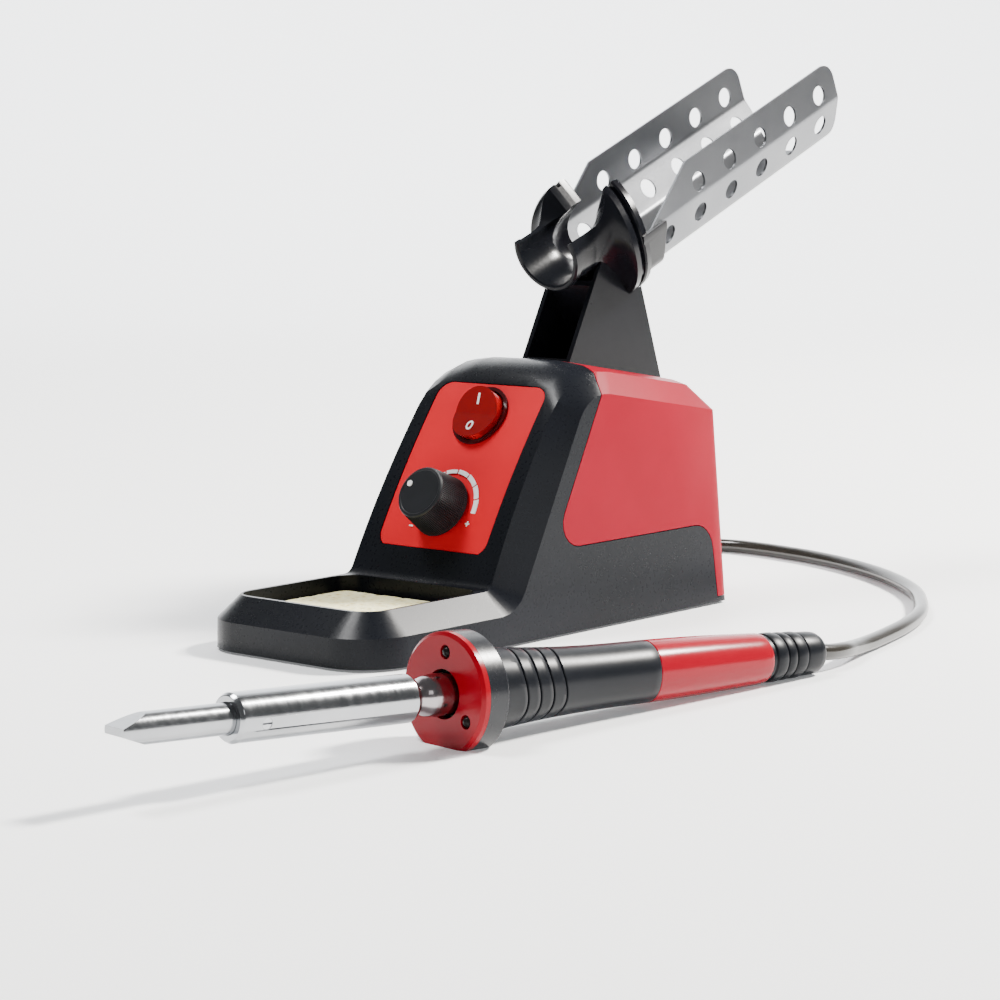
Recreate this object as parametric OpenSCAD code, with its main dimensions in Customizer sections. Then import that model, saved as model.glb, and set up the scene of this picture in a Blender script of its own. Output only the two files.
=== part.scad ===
// Soldering iron station: a small control housing with a sponge tray in front,
// a perforated steel rest on a post above it, and a corded pencil iron that lies
// on the desk beside it.  Millimetres.  +X is the station's right, +Y is its rear,
// +Z is up.  The origin is on the desk, under the middle of the housing.

/* [Housing] */
// Half width of the housing at the desk
half_w = 39; // [38.5:0.1:39.5]
// Half length of the housing at the desk
half_len = 87.2; // [87:0.1:88]
// Height of the tray's outer wall
tray_edge_h = 10.1; // [9.9:0.1:10.3]
// Height of the tray's rim
rim_h = 17.3; // [17.1:0.1:17.5]
// Height of the roof's edge, carried forward to the middle of the housing
roof_h = 88.3; // [88:0.1:88.6]
// Rise of the roof's middle above its edges
roof_crown = 2.4; // [2.2:0.1:2.6]
// Wall thickness of the shells
wall = 2.5; // [2.3:0.1:2.6]
// Gap along the seam between the front housing and the rear cover
seam_gap = 0.3; // [0.2:0.05:0.4]

/* [Controls] */
// Height of the knob's axis where it meets the face
knob_z = 40; // [39.5:0.1:40.5]
// Radius of the knob at its base
knob_r = 10.45; // [10.2:0.05:10.6]
// Height of the knob's front above the face
knob_h = 12.6; // [12:0.1:13]
// Height of the switch's centre on the face
switch_z = 68.3; // [68:0.1:68.5]
// Radius of the rocker
rocker_r = 9; // [8.8:0.1:9.1]

/* [Rest] */
// Tilt of the rest above level, rising to the rear
rest_tilt = 22.5; // [22.5:0.5:22.5]
// Half width of the trough
trough_w = 21.6; // [21.6:0.1:21.8]
// Sheet thickness of the trough
sheet = 0.8; // [0.7:0.1:0.9]
// Diameter of the trough's punched holes
punch_d = 7; // [6.5:0.1:7.2]
// Half width of the post
post_w = 10.6; // [10.4:0.1:10.8]

/* [Iron] */
// Radius of the flange that keeps the fingers off the hot barrel
flange_r = 16.6; // [16.4:0.1:16.8]
// Radius of the steel barrel
barrel_r = 6.5; // [6.4:0.1:6.6]
// Radius of the tip's rod
tip_r = 4.1; // [4:0.1:4.2]
// Length of the tip that shows in front of the barrel
tip_out = 33.4; // [30:0.2:34]
// Diameter of the iron's cord
cord_d = 5; // [4.8:0.1:5.2]

/* [Hidden] */
$fn = 64;
eps = 0.01;

// ---- side view of the housing: every point here is [y, z] ----
side_taper = 0.0471;    // the side walls lean in
ridge_x0 = 31.8;        // half width of the ridge at the desk's level
ridge_taper = 0.0353;   // the ridges close in going up
rear_lean = 0.0357;     // the rear wall leans forward
foot_y = -25.1;         // where the face meets the tray's rim
face_lean = 0.4745;     // the face leans back by this much per unit of height
face_bulge = 0.00244;   // and bulges a little
face_turn_z = 70;       // above this the face is straight, then rounds into the roof
roof_fall = 0.177;      // the roof falls to the rear
eave_h = 80.7;          // height of the roof band's lower edge
band_foot_y = -20.2;    // where the band's outer edge leaves the tray
band_lean = 0.582;
band_in = 7.9;          // the band's width, seen from above
tray_r = 17.6;          // plan radius of the tray's corners
skirt_z = 0.8;          // the housing's lower edge stays clear of the desk
face_wall = 4.2;        // the face is thicker, measured along Y
rear_r = 3.5;           // plan radius of the rear corners

function side_x(z) = half_w - side_taper * z;
function ridge_x(z) = ridge_x0 - ridge_taper * z;
function rear_y(z) = half_len - rear_lean * z;
function curve_y(z) = foot_y + face_lean * (z - rim_h) + face_bulge * pow(z - rim_h, 2);
function curve_slope(z) = face_lean + 2 * face_bulge * (min(z, face_turn_z) - rim_h);
function face_y(z) = z <= face_turn_z ? curve_y(z)
    : curve_y(face_turn_z) + curve_slope(z) * (z - face_turn_z);
function roof_z(y) = roof_h - roof_fall * y;
function eave_z(y) = eave_h - roof_fall * y;

function unit(v) = v / norm(v);
// Points of the arc of radius r that rounds corner p between directions a and b
function fillet(p, a, b, r, n) =
    let (turn = acos(a * b), side = sign(a[0] * b[1] - a[1] * b[0]),
         s = p - a * r * tan(turn / 2), m = [-a[1], a[0]] * side, c = s + m * r)
    [for (i = [0:n]) let (t = side * turn * i / n)
        c - r * [m[0] * cos(t) - m[1] * sin(t), m[0] * sin(t) + m[1] * cos(t)]];
// Where the line through p along direction a meets the line z = h - roof_fall * y
function meet_roof(p, a, h) = p + a * (h - p[1] - roof_fall * p[0]) / (a[1] + roof_fall * a[0]);
function between(a, b, n) = [for (i = [1:n]) a + (b - a) * i / (n + 1)];

level = [1, 0];
roof_dir = unit([1, -roof_fall]);
foot_steps = 4;
top_steps = 6;
face_zs = [24, 32, 40, 48, 56, 63];
mid_zs = [24, 33, 42, 51, 61, 70];

// The three long lines of the housing in side view: ridge, middle and band edge
face_top = [curve_y(face_turn_z), face_turn_z];
face_dir = unit([curve_slope(face_turn_z), 1]);
function ridge_line(r) = concat(
    fillet([foot_y, rim_h], level, unit([face_lean, 1]), 4, foot_steps),
    [for (z = face_zs) [curve_y(z), z]],
    fillet(meet_roof(face_top, face_dir, roof_h), face_dir, roof_dir, r, top_steps),
    [[55, roof_z(55)]]);
function mid_line() = concat(
    fillet([foot_y, rim_h], level, unit([face_lean, 1]), 4, foot_steps),
    [for (z = mid_zs) [curve_y(z), z]],
    fillet(meet_roof(face_top, face_dir, roof_h + roof_crown), face_dir, roof_dir, 16, top_steps),
    [[55, roof_z(55) + roof_crown]]);
function band_line() =
    let (d = unit([band_lean, 1]),
         a = fillet([band_foot_y, tray_edge_h], level, d, 13, foot_steps),
         b = fillet(meet_roof([band_foot_y, tray_edge_h], d, eave_h), d, roof_dir, 15, top_steps))
    concat(a, between(a[foot_steps], b[0], 6), b, [[55, eave_z(55)]]);

// One ring of the housing's skin.  e, g and m are the band edge, ridge and middle,
// xe and xg the half widths there, and base is how low the ring reaches.
across = [0.8, 0.45, 0, -0.45, -0.8];
function ring(e, g, m, xe, xg, yb, base) = concat(
    [[xe + side_taper * (e[1] - base), yb, base], [xe, e[0], e[1]], [xg, g[0], g[1]]],
    [for (u = across) let (p = g + (m - g) * (1 - pow(u, 4))) [xg * u, p[0], p[1]]],
    [[-xg, g[0], g[1]], [-xe, e[0], e[1]], [-xe - side_taper * (e[1] - base), yb, base]]);

ridge_pts = ridge_line(30);
mid_pts = mid_line();
band_pts = band_line();
side_last = len(ridge_pts) - 1;

// The rings down the tower, moved in by t for the inner skin
function tower_rings(t, base) =
    let (fw = t > 0 ? face_wall : 0)
    [for (i = [0:side_last])
        let (e = band_pts[i], g = ridge_pts[i], m = mid_pts[i],
             up = i > foot_steps + 6 ? min(1, (i - foot_steps - 6) / 4) : 0,
             dy = fw * (1 - up), dz = t * (i <= foot_steps ? 1 : up) * 1.05,
             e2 = [e[0] + dy, e[1] - dz], g2 = [g[0] + dy, g[1] - dz], m2 = [m[0] + dy, m[1] - dz])
        ring(e2, g2, m2, side_x(e[1]) - t, ridge_x(g[1]) - t * 0.7, e2[0], base)];
// The rings that turn the rear corner
function rear_rings(t, base) =
    let (ye = rear_y(66) - t, xe = side_x(66) - t, yg = ye - band_in + 0.6,
         xg = ridge_x(75) - t * 0.7, re = rear_r, rg = 1.5, n = 3, dz = t * 1.05)
    [for (i = [0:n]) let (a = 90 * i / n, ey = ye - re + re * sin(a), gy = yg - rg + rg * sin(a),
         gz = roof_z(gy) - dz)
        ring([ey, eave_z(ey) - dz], [gy, gz], [gy, gz + roof_crown],
             xe - re + re * cos(a), xg - rg + rg * cos(a),
             ey + rear_lean * (eave_z(ey) - base), base)];
// The rings that turn the tray's front corner
function tray_rings(base) =
    let (n = 7, re = tray_r, rg = tray_r - band_in, xe = side_x(tray_edge_h), xg = ridge_x(rim_h))
    [for (i = [0:n]) let (a = 90 * i / n, ey = -half_len + re - re * cos(a),
         gy = -half_len + band_in + rg - rg * cos(a))
        ring([ey, tray_edge_h], [gy, rim_h], [gy, rim_h],
             xe - re + re * sin(a), xg - rg + rg * sin(a), ey, base)];

module loft(rings) {
    k = len(rings[0]);
    n = len(rings);
    pts = [for (r = rings) each r];
    sides = [for (i = [0:n - 2], j = [0:k - 1]) let (a = i * k + j, b = i * k + (j + 1) % k)
        each [[a, b, b + k], [a, b + k, a + k]]];
    // the end caps fan out from the band edge, so that the wall and the band stay flat
    cap = [[0, k - 1, k - 2], [0, k - 2, 1], for (j = [2:k - 3]) [1, j + 1, j]];
    last = (n - 1) * k;
    back = [for (t = cap) [t[0] + last, t[2] + last, t[1] + last]];
    polyhedron(pts, concat(sides, cap, back));
}
module outer_skin() {
    loft(concat(tray_rings(skirt_z), tower_rings(0, skirt_z), rear_rings(0, skirt_z)));
}
module inner_skin() {
    loft(concat(tower_rings(wall, -1), rear_rings(wall, -1)));
}

// ---- small helpers ----
module along_x(w) {
    rotate([90, 0, 90]) linear_extrude(w, center = true) children();
}
module rounded(w, l, r) {
    hull() for (x = [-1, 1], y = [-1, 1]) translate([x * (w / 2 - r), y * (l / 2 - r)]) circle(r, $fn = 32);
}
// Stands on the face at height z: local +Z points out of the face
module on_face(z) {
    translate([0, face_y(z), z]) rotate([90 - atan(curve_slope(z)), 0, 0]) children();
}
// Stands on the roof's middle at y: local +Z points up out of it
module on_roof(y) {
    translate([0, y, roof_z(y) + roof_crown]) rotate([-atan(roof_fall), 0, 0]) children();
}
// The face's curve from z0 to z1, sunk by d: points [y, z]
function sunk(z0, z1, d, n) = [for (i = [0:n]) let (z = z0 + (z1 - z0) * i / n, a = atan(curve_slope(z)))
    [face_y(z) + d * cos(a), z - d * sin(a)]];
module face_strip(z0, z1, d0, d1, w) {
    outer = sunk(z0, z1, d0, 8);
    inner = sunk(z0, z1, d1, 8);
    along_x(w) polygon(concat(outer, [for (i = [8:-1:0]) inner[i]]));
}
module screw(r, h, head_r, head_h) {
    cylinder(r = r, h = h);
    mirror([0, 0, 1]) difference() {
        cylinder(r = head_r, h = head_h);
        for (a = [0, 90]) rotate(a) translate([-head_r * 0.6, -0.35, head_h - 0.8])
            cube([head_r * 1.2, 0.7, 1]);
    }
}

// ---- control housing ----
panel_z0 = 27.5;
panel_z1 = 78.8;
panel_w = 47.2;
panel_t = 1.8;
panel_sink = 0.3;
panel_r = 5.5;
panel_mid = (panel_z0 + panel_z1) / 2;
panel_len = norm([face_y(panel_z1) - face_y(panel_z0), panel_z1 - panel_z0]);
switch_bore = 10;
pot_bore = 4.6;

// The side view of the rear cover: a slanted front seam, a level lower seam and a rear leg
seam_lean = 0.574;
seam_z = 28;
function seam_y(z) = 5 + seam_lean * (z - 40.8);
leg_y = 79.2;
leg_lean = 0.09;
leg_z = 2.6;
module cover_region(grow) {
    slant = unit([-seam_lean, -1]);
    leg = unit([leg_lean, -1]);
    corner = [leg_y - leg_lean * (seam_z - 22.5), seam_z];
    points = concat([[seam_y(100), 100]],
        fillet([seam_y(seam_z), seam_z], slant, level, 7.5, 6),
        fillet(corner, level, leg, 9, 6),
        [[corner[0] + leg_lean * (seam_z - leg_z), leg_z], [100, leg_z], [100, 100]]);
    along_x(100) offset(delta = grow) polygon(points);
}
recess_w = 60;
recess_y0 = -78;
recess_y1 = -27;
recess_z = 7;
front_boss = [33.2, -58];
rear_boss = [31, 80];
plate_z = 1.6;
plate_t = 2.5;
plate_top = plate_z + plate_t;

module shell() {
    difference() {
        outer_skin();
        inner_skin();
    }
}
module front_housing() {
    color("#34373e") difference() {
        shell();
        cover_region(seam_gap / 2);
        // sponge recess
        translate([0, (recess_y0 + recess_y1) / 2, recess_z])
            linear_extrude(20) rounded(recess_w, recess_y1 - recess_y0, 7);
        // underside, open for the base plate
        translate([-36.2, -72, -1]) cube([72.4, 70, plate_top + 1.1]);
        translate([0, -66, -1]) linear_extrude(plate_top + 1.1) rounded(72.4, 36.8, 14);
        // pocket and window for the control panel
        intersection() {
            face_strip(panel_z0 - 0.2, panel_z1 + 0.2, -3, panel_sink + panel_t, panel_w + 0.4);
            on_face(panel_mid) linear_extrude(24, center = true)
                rounded(panel_w + 0.4, panel_len + 0.4, panel_r);
        }
        on_face(panel_mid) translate([0, 0, -6])
            linear_extrude(12, center = true) rounded(panel_w - 6, panel_len - 6, 4);
        for (s = [-1, 1]) translate([s * front_boss[0], front_boss[1], 0]) cylinder(r = 1.3, h = 12);
    }
}
mains_exit = [13, 17];
cord_exit = [-17, 17];
gland_r = 5.6;
roof_screws = [[-5.5, 60], [5.5, 60], [-5.5, 77], [5.5, 77]];

module rear_cover() {
    color("#c8363f") difference() {
        union() {
            intersection() {
                shell();
                cover_region(-seam_gap / 2);
            }
            // screw bosses in the lower rear corners
            intersection() {
                for (s = [-1, 1]) translate([s * rear_boss[0], rear_boss[1], plate_top + 0.1])
                    cylinder(r = 4.2, h = 24);
                outer_skin();
            }
        }
        for (s = [-1, 1]) translate([s * rear_boss[0], rear_boss[1], 0]) cylinder(r = 1.3, h = 20);
        for (x = [mains_exit, cord_exit]) translate([x[0], 70, x[1]]) rotate([-90, 0, 0])
            cylinder(r = gland_r, h = 30);
        for (p = roof_screws) on_roof(p[1]) {
            translate([p[0], 0, -12]) cylinder(r = 1.6, h = 20);
            translate([p[0], 0, -8]) cylinder(r = 3.2, h = 8 - screw_seat);
        }
        // cooling slots high in the rear wall
        for (i = [-3:3]) translate([i * 7, 82, 52]) cube([2.4, 16, 16], center = true);
    }
}
module base_plate() {
    color("#2b2d31") difference() {
        union() {
            translate([0, 0, plate_z]) linear_extrude(plate_t) rounded(72, 168, 13);
            for (s = [-1, 1], y = [8, 66]) translate([s * 25, y, plate_top - eps])
                cylinder(r = 3, h = 9);
        }
        for (s = [-1, 1]) {
            for (p = [front_boss, rear_boss]) translate([s * p[0], p[1], 0]) {
                cylinder(r = 1.7, h = 8);
                translate([0, 0, plate_z - 1]) cylinder(r = 3.2, h = 2.2);
            }
            for (y = [8, 66]) translate([s * 25, y, 3]) cylinder(r = 1.25, h = 20);
            translate([s * 12, 37, 0]) cylinder(r = 1.7, h = 8);
            translate([s * 12, 37, plate_z - 1]) cylinder(r = 3.2, h = 2.2);
        }
        // seats for the feet
        for (p = feet) translate([p[0], p[1], plate_z - 1]) cylinder(r = foot_r, h = 1.6);
        translate([0, 0, plate_z - 1]) linear_extrude(1.6) rounded(26, 12, 5.9);
    }
}
foot_r = 5.5;
feet = [[-22, -70], [22, -70], [-22, 70], [22, 70]];
module rubber_feet() {
    color("#26272a") {
        for (p = feet) translate([p[0], p[1], 0]) {
            cylinder(r1 = foot_r - 0.6, r2 = foot_r, h = 0.6);
            translate([0, 0, 0.6]) cylinder(r = foot_r, h = plate_z);
        }
        linear_extrude(plate_z + 0.6) rounded(26, 12, 5.9);
    }
}
module base_screws() {
    color("#9a9da2") for (s = [-1, 1]) {
        translate([s * front_boss[0], front_boss[1], plate_z + 1.2]) screw(1.3, 9, 3, 1);
        translate([s * rear_boss[0], rear_boss[1], plate_z + 1.2]) screw(1.3, 14, 3, 1);
    }
}
module ballast_plate() {
    color("#7d8086") difference() {
        translate([0, 37, plate_top]) linear_extrude(6) rounded(38, 62, 3);
        for (s = [-1, 1]) translate([s * 12, 37, 0]) cylinder(r = 1.3, h = 20);
    }
}
module ballast_screws() {
    color("#9a9da2") for (s = [-1, 1]) translate([s * 12, 37, plate_z + 1.2]) screw(1.3, 7, 3, 1);
}

// ---- control panel ----
module control_panel() {
    color("#f0525a") difference() {
        intersection() {
            face_strip(panel_z0, panel_z1, panel_sink, panel_sink + panel_t, panel_w);
            on_face(panel_mid) linear_extrude(20, center = true) rounded(panel_w, panel_len, panel_r);
        }
        on_face(switch_z) cylinder(r = switch_bore, h = 20, center = true);
        on_face(knob_z) cylinder(r = pot_bore, h = 20, center = true);
    }
}
scale_from = 200;
scale_to = -6;
scale_n = 9;
module panel_scale() {
    step = (scale_from - scale_to) / scale_n;
    color("white") on_face(knob_z) translate([0, 0, -panel_sink]) {
        for (i = [0:scale_n - 1]) let (a = scale_from - i * step, w = 0.5 + 1.5 * (i + 1) / scale_n)
            difference() {
                linear_extrude(0.22) polygon(concat(
                    [for (j = [0:4]) let (t = a - (step - 2.5) * j / 4) (12.3 + w) * [cos(t), sin(t)]],
                    [for (j = [4:-1:0]) let (t = a - (step - 2.5) * j / 4) 12.3 * [cos(t), sin(t)]]));
            }
        // plus and minus at the two ends of the travel
        rotate(-20) translate([13.3, 0, 0]) rotate(20) translate([-0.9, -0.25, 0]) cube([1.8, 0.5, 0.22]);
        rotate(-20) translate([13.3, 0, 0]) rotate(20) {
            translate([-0.25, 0.25, 0]) cube([0.5, 0.7, 0.22]);
            translate([-0.25, -0.95, 0]) cube([0.5, 0.7, 0.22]);
        }
        rotate(213) translate([13.3, 0, 0]) rotate(-213) translate([-0.9, -0.25, 0]) cube([1.8, 0.5, 0.22]);
    }
}

// ---- power switch: local +Z points out of the face ----
pivot_h = -1;
pivot_r = 1;
module switch_body() {
    color("#2a0c0e") on_face(switch_z) difference() {
        union() {
            translate([0, 0, -panel_sink + 0.05]) cylinder(r = 10.7, h = 0.9);
            translate([0, 0, -16]) cylinder(r = switch_bore - 0.05, h = 16);
        }
        translate([0, 0, -6]) cylinder(r = rocker_r + 0.5, h = 10);
        rotate([0, 90, 0]) translate([-pivot_h, 0, 0])
            cylinder(r = pivot_r + 0.04, h = 19.8, center = true);
        translate([0, 0, -13]) cylinder(r = 3, h = 12);
    }
}
module switch_terminals() {
    color("#c9b37a") on_face(switch_z) for (x = [-4.5, 0, 4.5])
        translate([x - 0.4, -2.4, -23]) cube([0.8, 4.8, 7]);
}
module neon_lamp() {
    color("#ff9a5a") on_face(switch_z) translate([0, 0, -12.5]) {
        cylinder(r = 2.2, h = 5);
        translate([0, 0, 5]) sphere(r = 2.2);
    }
}
rocker_tilt = 7;
module rocker() {
    // a shallow saddle: both halves rise from the middle
    color("#b01018") on_face(switch_z) translate([0, 0, pivot_h]) rotate([rocker_tilt, 0, 0]) {
        intersection() {
            translate([0, 0, -1.6]) cylinder(r = rocker_r, h = 9);
            along_x(30) polygon([[-12, -1.6], [12, -1.6], [12, 5.9], [0, 3.4], [-12, 5.9]]);
        }
        rotate([0, 90, 0]) cylinder(r = pivot_r, h = 19.6, center = true);
    }
}
mark_slope = atan(2.5 / 12);
module rocker_marks() {
    // a plain on bar above and off ring below
    color("white") on_face(switch_z) translate([0, 0, pivot_h]) rotate([rocker_tilt, 0, 0])
        translate([0, 0, 3.4]) {
            rotate([mark_slope, 0, 0]) translate([-0.4, 3, 0.02]) cube([0.8, 3.8, 0.16]);
            rotate([-mark_slope, 0, 0]) translate([0, -4.8, 0.02]) difference() {
                linear_extrude(0.16) scale([0.78, 1]) circle(1.75);
                translate([0, 0, -1]) linear_extrude(3) scale([0.7, 1]) circle(1.1);
            }
        }
}

// ---- temperature control ----
knob_rest_angle = 155;
shaft_r = 3;
module pot_body() {
    color("#3f6b4a") on_face(knob_z) translate([0, 0, -panel_sink - panel_t]) difference() {
        union() {
            translate([-8.5, -8.5, -10]) cube([17, 17, 9.9]);
            translate([0, 0, -0.11]) cylinder(r = pot_bore - 0.05, h = 6.4);
            for (x = [-5, 0, 5]) translate([x - 0.5, -13.5, -6]) cube([1, 5.01, 0.6]);
        }
        translate([0, 0, -9]) cylinder(r = shaft_r + 0.05, h = 20);
    }
}
module pot_nut() {
    color("#b8b9bc") on_face(knob_z) translate([0, 0, -panel_sink + 0.02]) difference() {
        union() {
            cylinder(r = 7, h = 0.6);
            translate([0, 0, 0.6]) cylinder(r = 6.3, h = 2, $fn = 6);
        }
        translate([0, 0, -1]) cylinder(r = pot_bore, h = 5);
    }
}
module pot_shaft() {
    color("#a8aaae") on_face(knob_z) translate([0, 0, -9]) cylinder(r = shaft_r, h = 18);
}
module knob() {
    top_r = 8.8;
    color("#2c2e33") on_face(knob_z) difference() {
        rotate_extrude() polygon([[0, 5.6], [7.6, 5.6], [7.6, 0.5], [knob_r, 0.5],
            [knob_r, 1.4], [top_r + 0.1, knob_h - 0.8], [top_r - 0.5, knob_h], [0, knob_h]]);
        translate([0, 0, 4]) cylinder(r = shaft_r, h = 5);
        rotate(knob_rest_angle) translate([6.1, 0, knob_h - 0.5]) cylinder(r = 1.05, h = 2, $fn = 24);
    }
}
module knob_dot() {
    color("white") on_face(knob_z) rotate(knob_rest_angle)
        translate([6.1, 0, knob_h - 0.5]) cylinder(r = 1.05, h = 0.55, $fn = 24);
}

// ---- electronics on the base plate ----
board_z = plate_top + 9;
board_t = 1.6;
board_top = board_z + board_t;
module circuit_board() {
    color("#2f6b3c") difference() {
        translate([-30, 2, board_z]) cube([60, 70, board_t]);
        for (s = [-1, 1], y = [8, 66]) translate([s * 25, y, board_z - 1]) cylinder(r = 1.6, h = 4);
    }
}
module board_screws() {
    color("#9a9da2") for (s = [-1, 1], y = [8, 66]) translate([s * 25, y, board_top + 0.02])
        mirror([0, 0, 1]) screw(1.25, 7, 2.6, 1.4);
}
module triac() {
    color("#1d1e20") translate([-12, 50, board_top]) {
        translate([0, 0, 5]) cube([10.2, 4.4, 9]);
        for (x = [2.5, 5, 7.5]) translate([x - 0.3, 2, 0]) cube([0.6, 0.5, 5]);
    }
}
module heat_sink() {
    color("#aeb2b8") translate([-20, 54.5, board_top]) {
        cube([26, 2, 22]);
        for (i = [0:5]) translate([i * 4.9, 1.9, 0]) cube([1.4, 8, 22]);
    }
}
module capacitor() {
    color("#c9a227") translate([14, 40, board_top]) {
        translate([0, 0, 1]) linear_extrude(14) rounded(8, 18, 2);
        for (s = [-1, 1]) translate([0, s * 7.5, 0]) cylinder(r = 0.4, h = 1);
    }
}
module resistors() {
    color("#c8b48a") for (i = [0:3]) translate([-22 + i * 6, 26, board_top + 2.2]) {
        rotate([-90, 0, 0]) cylinder(r = 1.6, h = 7);
        for (s = [[-1.6, 1], [7, -1]]) translate([-0.3, s[0], -2.2]) cube([0.6, 1.6, 2.5]);
    }
}
module fuse() {
    color("#d8e6ea") translate([22, 14, board_top + 4.4]) rotate([-90, 0, 0]) cylinder(r = 2.5, h = 20);
}
module fuse_clips() {
    color("#c9b37a") for (y = [14.5, 28.5]) translate([22, y, board_top]) difference() {
        translate([-3.3, 0, 0]) cube([6.6, 5, 6]);
        translate([0, -1, 4.4]) rotate([-90, 0, 0]) cylinder(r = 2.5, h = 8);
        translate([-2.2, -1, 5.5]) cube([4.4, 8, 3]);
    }
}
module terminal_block() {
    color("#2e5fa8") translate([-12, 12, board_top]) difference() {
        translate([-10, -5, 0]) cube([20, 10, 11]);
        for (i = [-1.5:1:1.5]) {
            translate([i * 5, 0, 4]) cylinder(r = 1.7, h = 10);
            translate([i * 5, -6, 3]) rotate([-90, 0, 0]) cylinder(r = 1.4, h = 7);
        }
    }
}

// ---- cord glands in the rear wall ----
gland_wall = 4.6;
module gland(x, bore, depth) {
    y0 = rear_y(x[1]) + 0.35;
    translate([x[0], y0, x[1]]) rotate([-90, 0, 0]) difference() {
        union() {
            translate([0, 0, -10]) cylinder(r = gland_r - 0.05, h = 10);
            cylinder(r = 8, h = 2.5);
            translate([0, 0, 2.5]) cylinder(r1 = 6, r2 = 4.2, h = 15.5);
        }
        translate([0, 0, -12]) cylinder(r = bore, h = 12 + depth);
        for (z = [6, 9, 12]) translate([0, 0, z]) rotate_extrude()
            translate([gland_wall + 1.1, 0]) square([3, 1.2]);
    }
}
module mains_gland() {
    color("#26272a") gland(mains_exit, 3.2, 20);
}
module cord_gland() {
    color("#26272a") gland(cord_exit, cord_d / 2, 12);
}
module gland_nuts() {
    color("#3a3c40") for (x = [mains_exit, cord_exit])
        translate([x[0], rear_y(x[1]) - wall - 0.6, x[1]]) rotate([90, 0, 0]) difference() {
            cylinder(r = 8.2, h = 4, $fn = 6);
            translate([0, 0, -1]) cylinder(r = gland_r - 0.05, h = 8);
        }
}

// ---- cleaning sponge ----
module sponge() {
    color("#efe3a0") translate([0, -53, recess_z + 0.1]) linear_extrude(6) rounded(54, 43, 4);
}

// ---- post and rest.  Points [s, n] run along and across the rest's own axis ----
rest_dir = [cos(rest_tilt), sin(rest_tilt)];
rest_up = [-sin(rest_tilt), cos(rest_tilt)];
module on_rest(s, n) {
    // local +Z runs along the rest to the rear, local +X is the station's left, +Y is up
    p = s * rest_dir + n * rest_up;
    translate([0, p[0], p[1]]) rotate([rest_tilt - 90, 0, 0]) rotate(180) children();
}
cradle_n = 95.5;
post_t = 1.8;
screw_seat = 2;         // wall left under each of the post's screws
post_foot_f = 37.8;
post_foot_r = 85.8;
module post_side() {
    // side view of the tower, which runs up into the cradle
    polygon([
        [post_foot_f, roof_z(post_foot_f) + roof_crown], [post_foot_r, roof_z(post_foot_r) + roof_crown],
        [73.5, 114.2], [57.5, 122]]);
}
module support_post() {
    inner_w = 2 * (post_w - post_t);
    color("#34373e") difference() {
        union() {
            difference() {
                along_x(2 * post_w) post_side();
                // hollow, open at the front
                along_x(inner_w) translate([-2.5, 1.6]) post_side();
            }
            // slanted web that stiffens the tower
            intersection() {
                along_x(inner_w + 1) polygon([[45.7, 118], [47.5, 118], [68.9, 78], [67.1, 78]]);
                along_x(2 * post_w) post_side();
            }
            // bosses for the screws from below
            for (p = roof_screws) on_roof(p[1]) translate([p[0], 0, 0.02]) cylinder(r = 2.6, h = 6.5);
        }
        cradle_body(0.12, true);
        on_rest(0, cradle_n) translate([0, -cradle_n, 104.7]) linear_extrude(sleeve_s1 - 104.6)
            offset(delta = 0.05) sleeve_outline();
        on_rest(78, cradle_n) translate([-30, 0, 0]) cube([60, 60, 60]);
        on_rest(78, cradle_n) translate([-1.5, -8, 0]) cube([3, 12, 40]);
        for (p = roof_screws) on_roof(p[1]) translate([p[0], 0, -1]) cylinder(r = 1.25, h = 7);
    }
}
module post_screws() {
    color("#9a9da2") for (p = roof_screws) on_roof(p[1]) translate([p[0], 0, -screw_seat - 0.02])
        screw(1.25, 7.5, 2.8, 1.6);
}
// Cross-section of the trough, right half, from the rim down to the floor
trough_top = 105.1;
trough_bend = 91;
trough_floor = 72.6;
trough_s0 = 109.5;
trough_s1 = 226.5;
facet = [[trough_w, trough_bend], [16.2, 78.2], [6, trough_floor]];
trough_open = 136.4;
bend_r = [5, 4, 5];
// Outline of the trough's right half, moved in by d: each bend is an arc
module trough_section(d) {
    corners = [[trough_w, trough_top + 2], each facet, [0, trough_floor]];
    dirs = [for (i = [1:4]) unit(corners[i] - corners[i - 1])];
    shifts = [for (v = dirs) d * [v[1], -v[0]]];
    moved = [for (i = [0:2]) let (k = cross(dirs[i], dirs[i + 1]),
        t = cross(corners[i + 1] + shifts[i + 1] - corners[i] - shifts[i], dirs[i + 1]) / k)
        corners[i] + shifts[i] + t * dirs[i]];
    half = concat([[trough_w - d, trough_top + 2]],
        [for (i = [0:2]) each fillet(moved[i], dirs[i], dirs[i + 1], bend_r[i] - d, 5)]);
    n = len(half);
    polygon(concat(half, [for (i = [n - 1:-1:0]) [-half[i][0], half[i][1]]]));
}
pitch = 18.75;
first_hole = 215.9;
module on_facet(side) {
    // stands on a lower facet: local +Z points out of the sheet
    mid = (facet[0] + facet[1]) / 2;
    lean = atan2(facet[0][1] - facet[1][1], facet[0][0] - facet[1][0]);
    translate([side * mid[0], mid[1] - cradle_n, 0]) rotate([0, 0, side > 0 ? lean - 90 : 90 - lean])
        rotate([0, 90, 0]) children();
}
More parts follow.
